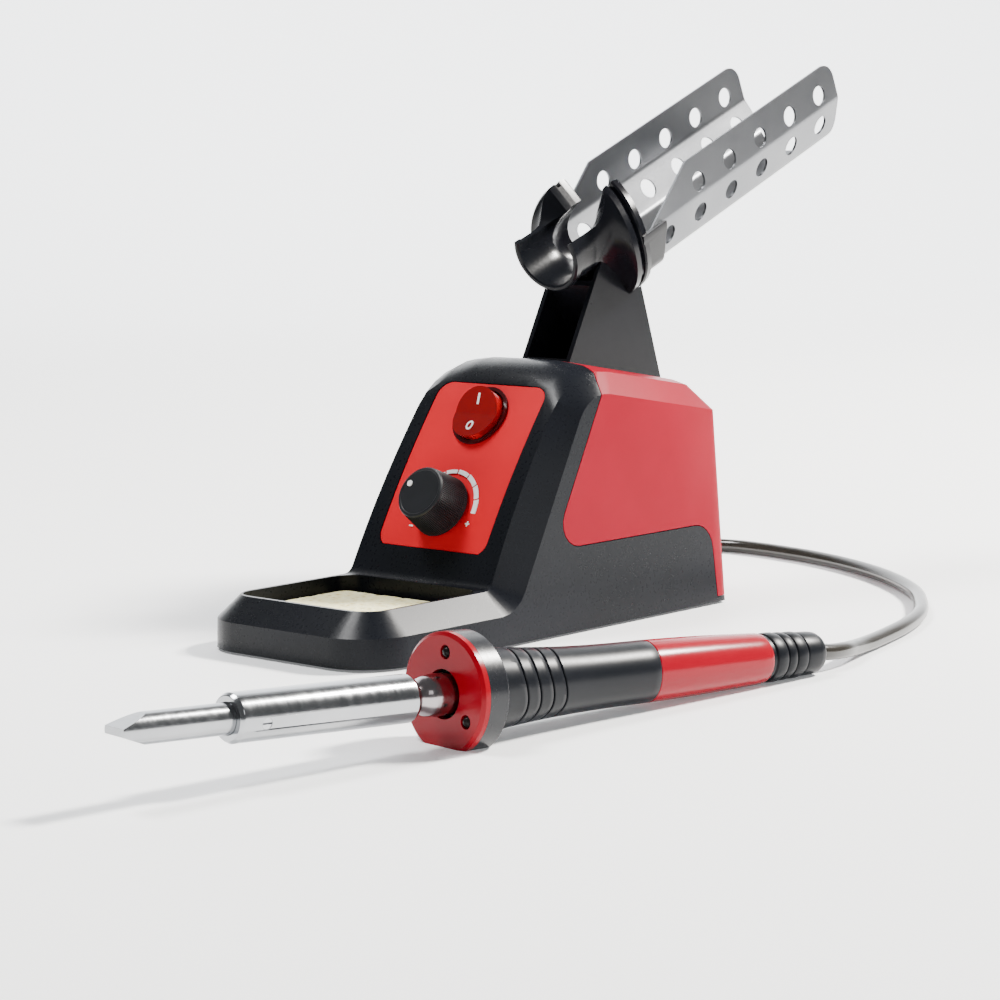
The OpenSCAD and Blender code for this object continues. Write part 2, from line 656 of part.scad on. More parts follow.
module holder_trough() {
    color("#b9bcc0") on_rest(0, cradle_n) difference() {
        translate([0, 0, trough_s0]) linear_extrude(trough_s1 - trough_s0)
            translate([0, -cradle_n]) difference() {
                trough_section(0);
                trough_section(sheet);
                translate([-40, trough_top]) square([80, 10]);
            }
        // slanted front edge of the walls
        rotate([0, 90, 0]) linear_extrude(60, center = true) polygon([
            [-trough_s0 + 1, -5], [-trough_s0, -5], [-trough_open, trough_top - cradle_n],
            [-trough_open, 20], [-trough_s0 + 1, 20]]);
        // rounded corners at the open rear end
        for (c = [[trough_top - cradle_n, 6, -1], [-19, 7, 1]]) rotate([0, 90, 0])
            linear_extrude(60, center = true) difference() {
                translate([-trough_s1 - 1, c[2] > 0 ? -26 : c[0] - c[1]]) square([c[1] + 1, 7 + c[1]]);
                translate([-trough_s1 + c[1], c[0] + c[2] * c[1]]) circle(c[1], $fn = 32);
            }
        for (i = [0:4]) translate([0, 96 - cradle_n, first_hole - i * pitch]) rotate([0, 90, 0])
            cylinder(d = punch_d, h = 60, center = true);
        for (i = [0:5], s = [-1, 1]) translate([0, 0, first_hole - i * pitch]) on_facet(s)
            cylinder(d = punch_d, h = 8, center = true);
        for (s = [-1, 1]) translate([s * 3.5, -30, rivet_s]) rotate([-90, 0, 0])
            cylinder(r = 1.05, h = 20);
    }
}
sleeve_s1 = 118;
// The cradle in steps from its mouth back: [s, outer radius, inner radius, centre's n,
// half angle of the C, how far its top and bottom bow to the rear]
cradle_steps = [
    [80.8, 12.7, 11.8, 95.5, 109.5, 0], [81.3, 13.3, 11.4, 95.5, 109.5, 0],
    [83.8, 13.3, 11.4, 95.5, 109.5, 0], [84.3, 12.8, 11.4, 95.5, 109.5, 0],
    [92, 12.8, 11.4, 95.4, 109.5, 0.2], [94.6, 13.3, 11.4, 95.2, 111, 1],
    [96.6, 14.6, 11.4, 94.6, 116, 2.4], [97.9, 16.8, 11.4, 93.6, 125, 4],
    [98.6, 19.4, 11.6, 92.2, 135, 5.2], [98.9, 21.6, 12, 91, 144, 6],
    [99.6, 22.5, 12.4, 90.5, 148, 6], [101.8, 22.6, 12.8, 90.5, 149, 6],
    [102.5, 22.2, 13, 90.5, 149, 6], [102.7, 20.8, 13, 90.5, 149, 6],
    [104.3, 20.8, 13, 90.5, 149, 6], [104.5, 22.2, 13, 90.5, 149, 6],
    [105.2, 22.6, 13, 90.5, 149, 6], [107.6, 22.4, 13, 90.5, 148, 6], [108.2, 21.8, 13, 90.5, 148, 6]
];
cradle_turns = 36;
// A point of step c at angle a from straight down, in the rest's frame, r from the centre
function cradle_point(c, a, r) = [r * sin(a), c[3] - r * cos(a) - cradle_n, c[0] + c[5] * pow(cos(a), 2)];
module cradle_body(grow, solid) {
    n = len(cradle_steps);
    rings = [for (k = [0:cradle_turns]) let (t = 2 * k / cradle_turns - 1) concat(
        [for (i = [0:n - 1]) let (c = cradle_steps[i], shift = i < n / 2 ? -grow : grow)
            cradle_point(c, t * c[4], c[1] + grow) + [0, 0, shift]],
        [for (i = [n - 1:-1:0]) let (c = cradle_steps[i], shift = i < n / 2 ? -grow : grow)
            cradle_point(c, t * c[4], solid ? 1 : c[2]) + [0, 0, shift]])];
    m = 2 * n;
    sides = [for (k = [0:cradle_turns - 1], j = [0:m - 1])
        let (a = k * m + j, b = k * m + (j + 1) % m)
        each [[a, b, b + m], [a, b + m, a + m]]];
    caps = [for (j = [0:n - 2]) let (p = j, q = j + 1, u = m - 1 - j, v = m - 2 - j, e = cradle_turns * m)
        each [[p, v, q], [p, u, v], [p + e, q + e, v + e], [p + e, v + e, u + e]]];
    on_rest(0, cradle_n) polyhedron([for (r = rings) each r], concat(sides, caps));
}
module sleeve_outline() {
    intersection() {
        trough_section(-1.6);
        translate([-40, 60]) square([80, 31.8]);
    }
}
module iron_cradle() {
    color("#2e3036") difference() {
        union() {
            cradle_body(0, false);
            // sleeve that carries the trough
            on_rest(0, cradle_n) translate([0, -cradle_n, 104.8]) linear_extrude(sleeve_s1 - 104.8)
                difference() {
                    sleeve_outline();
                    trough_section(sheet + 0.02);
                }
        }
        // the trough's sheet sits in this slot
        on_rest(0, cradle_n) translate([0, -cradle_n, trough_s0 - 0.02]) linear_extrude(30) difference() {
            trough_section(-0.02);
            trough_section(sheet + 0.02);
        }
        on_rest(0, cradle_n) for (s = [-1, 1]) translate([s * 3.5, trough_floor - cradle_n - 4, rivet_s])
            rotate([-90, 0, 0]) cylinder(r = 1.05, h = 8);
    }
}
rivet_s = 116.3;
module trough_rivets() {
    color("#8f9298") on_rest(0, cradle_n) for (s = [-1, 1])
        translate([s * 3.5, trough_floor - cradle_n - 1.6, rivet_s]) rotate([-90, 0, 0]) {
            cylinder(r = 1, h = 1.6 + sheet + 0.05);
            translate([0, 0, 1.6 + sheet + 0.05]) cylinder(r = 1.6, h = 0.6);
        }
}

// ---- soldering iron.  Local +Z runs from the flange's front face to the cord ----
iron_at = [122.2, -143.5, 14.07];
iron_heading = 83.9;
iron_drop = 3.1;
module on_iron(u) {
    translate(iron_at) rotate([0, 90 + iron_drop, iron_heading]) translate([0, 0, u]) children();
}
// Cuts whatever reaches below the desk, so that the flange rests on a flat
module above_desk() {
    intersection() {
        children();
        translate([0, -250, 0]) cube([300, 400, 100]);
    }
}
barrel_u0 = -70.5;
barrel_u1 = -11;
tip_u0 = barrel_u0 - tip_out;
tip_socket = 30;
tip_turn = 0;
module tip() {
    bevel = 9;
    blade = 1;
    color("#a9adb2") on_iron(tip_u0) difference() {
        cylinder(r = tip_r, h = tip_out + tip_socket);
        // two flats that meet in a blunt blade
        rotate(tip_turn) for (s = [0, 180]) rotate(s) rotate([90, 0, 0]) linear_extrude(20, center = true)
            polygon([[blade, -1], [blade, 0], [tip_r + 0.1, bevel], [9, bevel], [9, -1]]);
        translate([0, 0, tip_out + 5]) rotate([0, -90, tip_screw_turn])
            cylinder(r = 2.4, h = 3, $fn = 24);
    }
}
tip_screw_turn = 100;
module barrel() {
    color("#b4b7bc") on_iron(0) difference() {
        rotate_extrude() polygon([[tip_r + 0.06, barrel_u0], [barrel_r - 0.7, barrel_u0],
            [barrel_r, barrel_u0 + 1], [barrel_r, barrel_u1 - 2.2], [barrel_r - 0.9, barrel_u1 - 0.6],
            [barrel_r - 1.8, barrel_u1], [4.3, barrel_u1], [4.3, barrel_u1 - 1], [5.4, barrel_u1 - 1],
            [5.4, barrel_u0 + tip_socket + 1], [tip_r + 0.06, barrel_u0 + tip_socket + 1]]);
        rotate([0, 0, tip_screw_turn]) translate([-5, 0, barrel_u0 + 8]) rotate([0, -90, 0])
            cylinder(r = 1.5, h = 6, center = true);
    }
}
module tip_screw() {
    // grub screw that clamps the tip, on the side of the barrel
    color("#6f7277") on_iron(barrel_u0 + 8) rotate([0, 0, tip_screw_turn])
        translate([-tip_r - 0.1, 0, 0]) rotate([0, -90, 0]) difference() {
            cylinder(r = 1.5, h = barrel_r - tip_r - 0.3);
            translate([-2, -0.25, barrel_r - tip_r - 1]) cube([4, 0.5, 2]);
        }
}
module heater_core() {
    color("#d9d2c3") on_iron(barrel_u0 + tip_socket + 1.2) cylinder(r = 5.3, h = 25);
}
module barrel_neck() {
    color("#9ba0a6") on_iron(0) rotate_extrude() polygon([
        [0, barrel_u1 - 1], [4.25, barrel_u1 - 1], [4.25, barrel_u1 + 0.5], [4.5, barrel_u1 + 2],
        [5.3, barrel_u1 + 4.2], [5.7, barrel_u1 + 7], [5.7, 3], [5.7, 16], [0, 16]]);
}
led_at = 11.3;
led_turns = [63, 183, 303];
led_hole_r = 1.9;
module flange_disc() {
    color("#c0202e") above_desk() on_iron(0) difference() {
        rotate_extrude() polygon([[6.7, 0], [flange_r - 1, 0], [flange_r, 0.8], [flange_r, 2.4], [6.7, 2.4]]);
        for (a = led_turns) rotate(a) translate([led_at, 0, -1]) cylinder(r = led_hole_r, h = 5, $fn = 32);
    }
}
module led_lamps() {
    color("#d8dcc8") on_iron(1) for (a = led_turns) rotate(a) translate([led_at, 0, 0]) {
        cylinder(r = 1.5, h = 3.5);
        sphere(r = 1.5, $fn = 24);
    }
}
module led_board() {
    color("#2f6b3c") on_iron(4.6) difference() {
        cylinder(r = 13.2, h = 1.2);
        translate([0, 0, -1]) cylinder(r = 6.4, h = 5);
    }
}
ring_u1 = 12;
module flange_ring() {
    color("#2c2e33") above_desk() on_iron(0) difference() {
        rotate_extrude() polygon([[6.7, 2.42], [flange_r, 2.42], [flange_r, 8.6], [flange_r - 1.2, 10],
            [12.6, ring_u1], [6.7, ring_u1]]);
        translate([0, 0, 4.58]) cylinder(r = 13.25, h = 1.25);
        for (a = led_turns) rotate(a) translate([led_at, 0, 0]) cylinder(r = led_hole_r, h = 5, $fn = 32);
    }
}
grip_u1 = 73.2;
handle_u1 = 120.4;
boot_u1 = 145;
boot_grooves = [122.3, 127.3, 131.3, 136.3];
core_r = 6.6;
module handle_core() {
    color("#3a3c40") on_iron(0) rotate_extrude() polygon([[5.75, 6.2], [core_r, 6.2], [core_r, 116],
        [3.2, 116], [3.2, 112], [5, 112], [5, 18], [5.75, 16.5]]);
}
function grip_r(u) = 8.9 + 2.9 * pow((grip_u1 - u) / (grip_u1 - ring_u1), 2.4);
module grip_sleeve() {
    grooves = [20.8, 25.85, 30.9, 35.95];
    body = [for (i = [0:12]) let (u = ring_u1 + 0.02 + (grip_u1 - ring_u1 - 0.02) * i / 12) [grip_r(u), u]];
    color("#2c2e33") on_iron(0) difference() {
        rotate_extrude() polygon(concat([[core_r + 0.02, ring_u1 + 0.02]], body,
            [[core_r + 0.02, grip_u1]]));
        for (u = grooves) rotate_extrude() translate([grip_r(u) - 0.5, u - 0.45]) square([3, 0.9]);
    }
}
module rear_handle() {
    color("#c0202e") on_iron(0) rotate_extrude() polygon([[core_r + 0.02, grip_u1 + 0.02],
        [8.9, grip_u1 + 0.02], [8.6, 90], [8.1, 106], [7.5, handle_u1], [5.6, handle_u1],
        [5.6, 116.5], [core_r + 0.02, 116.5]]);
}
module cord_boot() {
    color("#2c2e33") on_iron(0) difference() {
        rotate_extrude() polygon([[0, 117], [5.55, 117], [5.55, handle_u1 + 0.02], [7.3, handle_u1 + 0.02],
            [6.7, 134], [6.15, boot_u1 - 1.2], [5.2, boot_u1], [0, boot_u1]]);
        for (u = boot_grooves) translate([0, 0, u - 0.3]) rotate_extrude()
            translate([6.3 - 0.03 * (u - handle_u1), 0]) square([2, 0.6]);
        translate([0, 0, 112]) cylinder(r = cord_d / 2, h = 26);
    }
}

// ---- the iron's cord, from the station's gland to the iron ----
cord_route = [
    [-18.2, 115, 15.6], [-22.5, 125, 12.6], [-29.5, 133, 9], [-37.5, 140, 5.8], [-43.5, 148, 3.4],
    [-45.8, 157.5, 2.6], [-43.4, 167.4, 2.6], [-36.4, 174.8, 2.6], [-26, 178, 2.6], [-12, 177.5, 2.6],
    [0, 175.6, 2.6], [12, 173, 2.6], [31, 166.4, 2.6], [51, 156.5, 2.6], [70, 143.7, 2.6],
    [87.4, 128.2, 2.6], [102, 109.6, 2.6], [113, 92, 2.6], [122, 70, 2.6], [128.6, 46, 2.6],
    [131.6, 34, 2.9], [134.5, 24.8, 3.6], [137.4, 16, 4.6], [138.3, 8, 5.3]
];
// It leaves the gland square to the rear wall and enters the boot along the iron
cord_from = [cord_exit[0], rear_y(cord_exit[1]) + 18.35, cord_exit[1]];
iron_dir = [cos(iron_drop) * cos(iron_heading), cos(iron_drop) * sin(iron_heading), -sin(iron_drop)];
cord_to = iron_at + boot_u1 * iron_dir;
module iron_cord() {
    path = concat([cord_from], cord_route, [cord_to]);
    last = len(path) - 1;
    sides = 10;
    function along(i) = i == 0 ? [0, 1, 0] : i == last ? -iron_dir : unit(path[i + 1] - path[i - 1]);
    rings = [for (i = [0:last]) let (t = along(i), s = unit(cross(t, [0, 0, 1])), u = cross(s, t))
        [for (k = [0:sides - 1]) let (a = 360 * (k + 0.5) / sides)
            path[i] + cord_d / 2 * (cos(a) * s + sin(a) * u)]];
    faces = [for (i = [0:last - 1], k = [0:sides - 1])
        let (a = i * sides + k, b = i * sides + (k + 1) % sides)
        each [[a, b + sides, b], [a, a + sides, b + sides]]];
    ends = [[for (k = [0:sides - 1]) k], [for (k = [sides - 1:-1:0]) last * sides + k]];
    color("#26272a") polyhedron([for (r = rings) each r], concat(faces, ends));
}

front_housing();
rear_cover();
base_plate();
rubber_feet();
base_screws();
ballast_plate();
ballast_screws();
control_panel();
panel_scale();
switch_body();
switch_terminals();
neon_lamp();
rocker();
rocker_marks();
pot_body();
pot_nut();
pot_shaft();
knob();
knob_dot();
circuit_board();
board_screws();
triac();
heat_sink();
capacitor();
resistors();
fuse();
fuse_clips();
terminal_block();
mains_gland();
cord_gland();
gland_nuts();
sponge();
support_post();
post_screws();
iron_cradle();
holder_trough();
trough_rivets();
tip();
barrel();
tip_screw();
heater_core();
barrel_neck();
flange_disc();
led_lamps();
led_board();
flange_ring();
handle_core();
grip_sleeve();
rear_handle();
cord_boot();
iron_cord();
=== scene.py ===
import math

import bmesh
import bpy
from mathutils import Matrix, Vector, noise


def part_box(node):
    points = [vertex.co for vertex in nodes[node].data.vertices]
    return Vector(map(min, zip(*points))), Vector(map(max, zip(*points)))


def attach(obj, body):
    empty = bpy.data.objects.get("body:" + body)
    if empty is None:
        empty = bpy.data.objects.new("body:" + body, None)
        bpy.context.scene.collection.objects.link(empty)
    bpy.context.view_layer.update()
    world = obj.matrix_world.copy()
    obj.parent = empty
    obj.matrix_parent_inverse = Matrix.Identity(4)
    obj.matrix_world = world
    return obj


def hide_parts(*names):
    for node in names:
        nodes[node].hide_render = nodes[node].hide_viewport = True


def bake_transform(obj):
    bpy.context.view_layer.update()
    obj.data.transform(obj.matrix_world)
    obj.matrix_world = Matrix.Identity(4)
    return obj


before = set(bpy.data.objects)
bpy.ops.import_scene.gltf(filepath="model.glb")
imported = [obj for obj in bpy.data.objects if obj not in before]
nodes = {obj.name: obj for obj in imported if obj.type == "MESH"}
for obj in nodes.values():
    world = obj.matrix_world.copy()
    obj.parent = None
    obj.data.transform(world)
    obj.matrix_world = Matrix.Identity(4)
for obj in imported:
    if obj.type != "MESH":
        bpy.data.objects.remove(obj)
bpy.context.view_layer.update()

MM = 0.001
Z = Vector((0, 0, 1))
# the iron's own frame: local Z runs from its flange's front face to the cord
IRON = (Matrix.Translation(Vector((122.2, -143.5, 14.07)) * MM)
        @ Matrix.Rotation(math.radians(83.9), 4, "Z") @ Matrix.Rotation(math.radians(93.1), 4, "Y"))


# ---------------------------------------------------------------- camera
def add_camera():
    position = Vector((642.4, -691.8, 163.9)) * MM
    yaw, pitch, roll = math.radians(42.22), math.radians(7.41), math.radians(0.74)
    back = Vector((math.sin(yaw) * math.cos(pitch), -math.cos(yaw) * math.cos(pitch), math.sin(pitch)))
    right = Z.cross(back).normalized()
    up = back.cross(right)
    turn = Matrix((right, up, back)).transposed()
    data = bpy.data.cameras.new("camera")
    data.lens = 104.86
    data.sensor_width = 36
    data.clip_start = 0.05
    data.shift_x = -0.0037
    data.shift_y = -0.0004
    camera = bpy.data.objects.new("camera", data)
    camera.matrix_world = Matrix.Translation(position) @ turn.to_4x4() @ Matrix.Rotation(-roll, 4, "Z")
    bpy.context.scene.collection.objects.link(camera)
    bpy.context.scene.camera = camera


add_camera()


# ---------------------------------------------------------------- mesh helpers
SHARP_ANGLE = 28    # degrees: edges that turn further than this stay sharp


def softening():
    """Joins touching faces and shades them smoothly, except across sharp edges."""
    group = bpy.data.node_groups.new("soft", "GeometryNodeTree")
    group.interface.new_socket("Geometry", in_out="INPUT", socket_type="NodeSocketGeometry")
    group.interface.new_socket("Geometry", in_out="OUTPUT", socket_type="NodeSocketGeometry")
    start = group.nodes.new("NodeGroupInput")
    end = group.nodes.new("NodeGroupOutput")
    merge = group.nodes.new("GeometryNodeMergeByDistance")
    merge.inputs["Distance"].default_value = 0.003 * MM
    faces = group.nodes.new("GeometryNodeSetShadeSmooth")
    faces.inputs["Shade Smooth"].default_value = True
    edges = group.nodes.new("GeometryNodeSetShadeSmooth")
    edges.domain = "EDGE"
    edges.inputs["Shade Smooth"].default_value = False
    turn = group.nodes.new("GeometryNodeInputMeshEdgeAngle")
    sharp = group.nodes.new("FunctionNodeCompare")
    sharp.operation = "GREATER_THAN"
    sharp.inputs["B"].default_value = math.radians(SHARP_ANGLE)
    link = group.links.new
    link(start.outputs[0], merge.inputs["Geometry"])
    link(merge.outputs[0], faces.inputs["Geometry"])
    link(faces.outputs[0], edges.inputs["Geometry"])
    link(turn.outputs["Unsigned Angle"], sharp.inputs["A"])
    link(sharp.outputs["Result"], edges.inputs["Selection"])
    link(edges.outputs[0], end.inputs[0])
    return group


SOFT = softening()


def smooth(obj):
    """Uses the shared smoothing group in place of any normals that came with the mesh."""
    if "custom_normal" in obj.data.attributes:
        obj.data.attributes.remove(obj.data.attributes["custom_normal"])
    soft = obj.modifiers.new("soft", "NODES")
    soft.node_group = SOFT


def edge_round(obj, width, segments):
    """Rounds the sharp edges a little, as a moulded or ground edge is."""
    bevel = obj.modifiers.new("edge", "BEVEL")
    bevel.width = width * MM
    bevel.segments = segments
    bevel.limit_method = "ANGLE"
    bevel.angle_limit = math.radians(SHARP_ANGLE)
    bevel.harden_normals = True
    bevel.miter_outer = "MITER_ARC"


def add_mesh(name, points, faces, body, material, *replaced):
    mesh = bpy.data.meshes.new(name)
    mesh.from_pydata([tuple(p) for p in points], [], faces)
    mesh.validate()
    work = bmesh.new()
    work.from_mesh(mesh)
    bmesh.ops.recalc_face_normals(work, faces=work.faces)
    work.to_mesh(mesh)
    work.free()
    obj = bpy.data.objects.new(name, mesh)
    bpy.context.scene.collection.objects.link(obj)
    mesh.materials.append(material)
    if body:
        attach(obj, body)
    if replaced:
        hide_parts(*replaced)
    return obj


def lathe(rows, steps, place, warp=None):
    """Turns rows of (radius, height) about local Z and puts them in place by a matrix.
    A row of radius 0 closes an end.  warp gets a point's angle, row, radius and height, and
    returns its radius and height.  Returns points and faces."""
    points, faces, starts = [], [], []
    for index, (radius, height) in enumerate(rows):
        starts.append(len(points))
        if radius == 0:
            points.append(Vector((0, 0, height)))
            continue
        for k in range(steps):
            a = 2 * math.pi * k / steps
            r, h = (radius, height) if warp is None else warp(a, index, radius, height)
            points.append(Vector((r * math.cos(a), r * math.sin(a), h)))
    for i in range(len(rows) - 1):
        a0, b0 = starts[i], starts[i + 1]
        one_a, one_b = rows[i][0] == 0, rows[i + 1][0] == 0
        for k in range(steps):
            k1 = (k + 1) % steps
            if one_a:
                faces.append((a0, b0 + k, b0 + k1))
            elif one_b:
                faces.append((a0 + k, b0, a0 + k1))
            else:
                faces.append((a0 + k, b0 + k, b0 + k1, a0 + k1))
    return [place @ p for p in points], faces


def flowing(points, first, last, steps=8):
    """A smooth curve through the points, with the given directions at its two ends."""
    slopes = [(q - p) / 2 for p, q in zip(points, points[2:])]
    slopes = [first * (points[1] - points[0]).length, *slopes, last * (points[-1] - points[-2]).length]
    path = []
    for p, q, u, v in zip(points, points[1:], slopes, slopes[1:]):
        for k in range(steps):
            t = k / steps
            path.append(p * (2 * t**3 - 3 * t**2 + 1) + u * (t**3 - 2 * t**2 + t)
                        + q * (3 * t**2 - 2 * t**3) + v * (t**3 - t**2))
    return [*path, points[-1]]


def tube(path, radius, sides):
    points, faces = [], []
    for i, p in enumerate(path):
        along = (path[min(i + 1, len(path) - 1)] - path[max(i - 1, 0)]).normalized()
        side = along.cross(Z).normalized()
        up = side.cross(along)
        for k in range(sides):
            a = 2 * math.pi * k / sides
            points.append(p + radius * (math.cos(a) * side + math.sin(a) * up))
    for i in range(len(path) - 1):
        for k in range(sides):
            a, b = i * sides + k, i * sides + (k + 1) % sides
            faces.append((a, b, b + sides, a + sides))
    faces.append(tuple(range(sides)))
    faces.append(tuple(range(len(points) - sides, len(points))))
    return points, faces


# ---------------------------------------------------------------- materials
NOISE_LOW, NOISE_HIGH = 0.3, 0.7    # the part of a noise's range that most of it lies in


class Paint:
    """A node material: the colour, roughness and bump vary over the surface."""

    def __init__(self, name, rough=0.5, metal=0.0, **sockets):
        self.material = bpy.data.materials.new(name)
        self.material.use_nodes = True
        self.tree = self.material.node_tree
        self.shader = self.tree.nodes["Principled BSDF"]
        self.shader.inputs["Roughness"].default_value = rough
        self.shader.inputs["Metallic"].default_value = metal
        for key, value in sockets.items():
            self.shader.inputs[key.replace("_", " ")].default_value = value
        self.where = self.tree.nodes.new("ShaderNodeTexCoord").outputs["Object"]
        self.normal = None

    def link(self, a, b):
        self.tree.links.new(a, b)

    def stretched(self, scale):
        mapping = self.tree.nodes.new("ShaderNodeMapping")
        mapping.inputs["Scale"].default_value = scale
        self.link(self.where, mapping.inputs["Vector"])
        return mapping.outputs["Vector"]

    def noise(self, scale, detail, vector=None):
        node = self.tree.nodes.new("ShaderNodeTexNoise")
        node.inputs["Scale"].default_value = scale
        node.inputs["Detail"].default_value = detail
        self.link(vector or self.where, node.inputs["Vector"])
        return node.outputs["Fac"]

    def cells(self, scale):
        node = self.tree.nodes.new("ShaderNodeTexVoronoi")
        node.inputs["Scale"].default_value = scale
        self.link(self.where, node.inputs["Vector"])
        return node.outputs["Distance"]

    def ramp(self, factor, stops):
        node = self.tree.nodes.new("ShaderNodeValToRGB")
        ramp = node.color_ramp
        while len(ramp.elements) < len(stops):
            ramp.elements.new(0.5)
        for element, (position, colour) in zip(ramp.elements, stops):
            element.position = position
            element.color = (*colour, 1)
        self.link(factor, node.inputs["Fac"])
        return node.outputs["Color"]

    def colour(self, factor, dark, light):
        shade = self.ramp(factor, [(NOISE_LOW, dark), (NOISE_HIGH, light)])
        self.link(shade, self.shader.inputs["Base Color"])

    def roughness(self, factor, low, high):
        node = self.tree.nodes.new("ShaderNodeMapRange")
        node.inputs["From Min"].default_value = NOISE_LOW
        node.inputs["From Max"].default_value = NOISE_HIGH
        node.inputs["To Min"].default_value = low
        node.inputs["To Max"].default_value = high
        self.link(factor, node.inputs["Value"])
        self.link(node.outputs["Result"], self.shader.inputs["Roughness"])

    def bump(self, factor, depth, strength):
        """Adds to the bumps so far; the depth is in millimetres."""
        node = self.tree.nodes.new("ShaderNodeBump")
        node.inputs["Distance"].default_value = depth * MM
        node.inputs["Strength"].default_value = strength
        self.link(factor, node.inputs["Height"])
        if self.normal:
            self.link(self.normal, node.inputs["Normal"])
        self.normal = node.outputs["Normal"]
        self.link(self.normal, self.shader.inputs["Normal"])


def moulded(name, dark, light, rough, grain=2600, depth=0.012, **sockets):
    """Moulded plastic: a fine spark-eroded grain, slight clouding and uneven gloss."""
    paint = Paint(name, rough, **sockets)
    paint.colour(paint.noise(38, 4), dark, light)
    paint.roughness(paint.noise(900, 3), rough - 0.015, rough + 0.025)
    paint.bump(paint.noise(grain, 2), depth, 0.5)
    return paint.material


def metal(name, dark, light, rough, stretch=(1, 1, 1), grain=900, depth=0.004):
    """Bare metal with a fine grain, which a stretch draws out into lines."""
    paint = Paint(name, rough, 1.0)
    lines = paint.noise(grain, 4, paint.stretched(stretch))
    paint.colour(paint.noise(45, 5), dark, light)
    paint.roughness(lines, rough - 0.03, rough + 0.05)
    paint.bump(lines, depth, 0.6)
    return paint.material


black = moulded("housing_black", (0.005, 0.006, 0.008), (0.007, 0.008, 0.011), 0.28, 2600, 0.0002,
                Specular_IOR_Level=0.13)
rest_black = moulded("rest_black", (0.004, 0.004, 0.006), (0.006, 0.007, 0.009), 0.22, 2600, 0.0003,
                     Specular_IOR_Level=0.14)
red = moulded("cover_red", (0.235, 0.0012, 0.012), (0.265, 0.0018, 0.015), 0.34, 2600, 0.0003,
              Specular_IOR_Level=0.08)
panel_red = moulded("panel_red", (0.62, 0.005, 0.014), (0.69, 0.007, 0.018), 0.40, 3200, 0.0003,
                    Specular_IOR_Level=0.15)
base_black = moulded("base_black", (0.007, 0.008, 0.010), (0.012, 0.013, 0.015), 0.45, 2600, 0.001,
                     Specular_IOR_Level=0.2)
gland_black = moulded("gland_black", (0.008, 0.008, 0.009), (0.014, 0.014, 0.015), 0.35, 2600, 0.001,
                      Specular_IOR_Level=0.25)
knob_black = moulded("knob_black", (0.008, 0.009, 0.011), (0.012, 0.013, 0.016), 0.38, 2600, 0.0005,
                     Specular_IOR_Level=0.25)
grip_black = moulded("grip_black", (0.005, 0.006, 0.008), (0.007, 0.008, 0.011), 0.3, 2400, 0.0003,
                     Specular_IOR_Level=0.16)
boot_black = moulded("boot_black", (0.004, 0.005, 0.007), (0.006, 0.007, 0.010), 0.34, 2400, 0.0003,
                     Specular_IOR_Level=0.16)
handle_red = moulded("handle_red", (0.235, 0.0008, 0.009), (0.265, 0.0012, 0.012), 0.18, 2600, 0.0003,
                     Specular_IOR_Level=0.2)
flange_red = moulded("flange_red", (0.25, 0.001, 0.008), (0.28, 0.0015, 0.010), 0.2, 2600, 0.0003,
                     Specular_IOR_Level=0.15)
ring_black = moulded("ring_black", (0.008, 0.009, 0.012), (0.014, 0.015, 0.018), 0.25, 2600, 0.0004,
                     Specular_IOR_Level=0.35)
switch_red = moulded("switch_red", (0.03, 0.001, 0.002), (0.05, 0.002, 0.003), 0.2, 2600, 0.0004,
                     Specular_IOR_Level=0.3)
print_white = moulded("print_white", (0.80, 0.80, 0.80), (0.9, 0.9, 0.9), 0.5, 3200, 0.001)
handle_core = moulded("handle_plastic", (0.015, 0.015, 0.016), (0.022, 0.022, 0.024), 0.4)
board = moulded("board_green", (0.012, 0.10, 0.03), (0.02, 0.15, 0.05), 0.3, 900, 0.02)
epoxy = moulded("triac_epoxy", (0.012, 0.012, 0.012), (0.02, 0.02, 0.02), 0.5)
yellow = moulded("capacitor_yellow", (0.55, 0.33, 0.02), (0.66, 0.42, 0.03), 0.3)
ceramic = moulded("resistor_ceramic", (0.5, 0.38, 0.22), (0.62, 0.5, 0.32), 0.55)
heater = moulded("heater_ceramic", (0.66, 0.62, 0.54), (0.8, 0.76, 0.68), 0.8, 1500, 0.03)
blue = moulded("terminal_blue", (0.012, 0.07, 0.32), (0.02, 0.1, 0.42), 0.35)
green = moulded("pot_green", (0.02, 0.10, 0.045), (0.035, 0.15, 0.07), 0.4)
rubber = moulded("foot_rubber", (0.015, 0.015, 0.016), (0.03, 0.03, 0.031), 0.75, 1500, 0.03)

steel = metal("screw_steel", (0.40, 0.41, 0.43), (0.58, 0.59, 0.61), 0.32)
iron = metal("ballast_iron", (0.16, 0.16, 0.17), (0.28, 0.28, 0.29), 0.6, grain=400, depth=0.05)
brass = metal("terminal_brass", (0.55, 0.42, 0.18), (0.72, 0.58, 0.28), 0.3)
plated = metal("nut_steel", (0.55, 0.55, 0.57), (0.7, 0.7, 0.72), 0.2)
turned = metal("shaft_aluminium", (0.55, 0.56, 0.58), (0.7, 0.71, 0.73), 0.35)
extruded = metal("heat_sink_aluminium", (0.45, 0.46, 0.48), (0.58, 0.59, 0.61), 0.4, stretch=(1, 1, 0.05))
rivet = metal("rivet_steel", (0.42, 0.43, 0.44), (0.56, 0.57, 0.58), 0.3)
trough_steel = metal("trough_steel", (0.135, 0.14, 0.15), (0.165, 0.17, 0.18), 0.34,
                     grain=1500, depth=0.0002)
barrel_steel = metal("barrel_steel", (0.36, 0.37, 0.385), (0.44, 0.45, 0.465), 0.16,
                     stretch=(0.2, 1, 0.2), grain=500, depth=0.0003)
tip_plated = metal("tip_plated", (0.34, 0.35, 0.365), (0.42, 0.43, 0.445), 0.2, grain=700, depth=0.0003)
neck_steel = metal("neck_steel", (0.30, 0.27, 0.28), (0.40, 0.36, 0.37), 0.18, depth=0.001)


